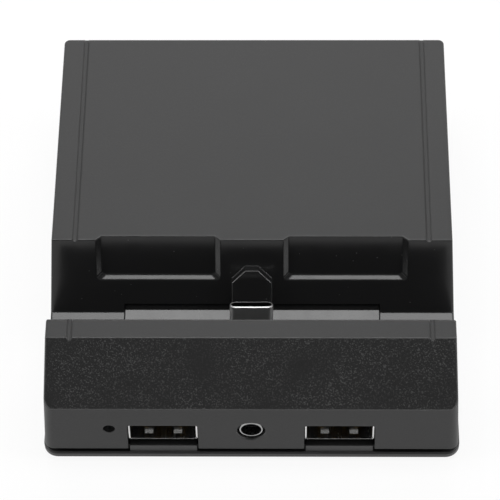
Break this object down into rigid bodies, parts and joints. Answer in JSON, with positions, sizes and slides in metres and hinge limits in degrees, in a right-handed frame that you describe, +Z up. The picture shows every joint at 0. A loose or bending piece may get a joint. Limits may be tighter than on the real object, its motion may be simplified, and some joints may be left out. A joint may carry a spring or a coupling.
{
  "type": "game console dock",
  "caption": "Low black box dock with a leaning slot and upright plug for a handheld game console, vent pockets behind it, and sockets in the front and back walls.",
  "frame": {"origin": "centre of the footprint at the plane the rubber feet stand on", "axes": "+Z up, +Y from the socketed front wall towards the back, +X to the right seen from the front"},
  "size_m": [0.0794, 0.0856, 0.0255],
  "materials": {
    "cover": "fine spark texture outside, polished inside the slot",
    "base": "fine texture",
    "bed": "polished",
    "rubber": "soft matte",
    "plug_steel": "nickel-plated sheet",
    "insulator": "moulded",
    "gold": "gold flash",
    "socket_steel": "bright plated sheet",
    "jack_ring": "plated",
    "light_pipe": "smoked clear",
    "board": "solder mask",
    "chip": "moulded package",
    "coil": "pressed ferrite",
    "can": "drawn can",
    "lamp": "clear over a pale chip",
    "cable": "film",
    "screw": "dark zinc"
  },
  "bodies": {
    "root": {"top_cover": "cover", "bottom_cover": "base", "connector_bed": "bed", "rubber_feet": "rubber", "plug_shell": "plug_steel", "plug_core": "insulator", "plug_contacts": "gold", "plug_board": "board", "main_board": "board", "data_shell_left": "socket_steel", "data_shell_right": "socket_steel", "data_tongue_left": "insulator", "data_tongue_right": "insulator", "data_contacts_left": "gold", "data_contacts_right": "gold", "audio_jack_body": "insulator", "audio_jack_ring": "jack_ring", "light_pipe": "light_pipe", "status_light": "lamp", "video_shell": "socket_steel", "video_tongue": "insulator", "video_contacts": "gold", "power_shell": "socket_steel", "power_tongue": "insulator", "video_chip": "chip", "hub_chip": "chip", "power_chip": "chip", "power_coils": "coil", "power_capacitors": "can", "cable_socket_upper": "insulator", "cable_socket_lower": "insulator", "flat_cable": "cable", "case_screws": "screw", "board_screws": "screw", "bed_screws": "screw"}
  },
  "joints": []
}
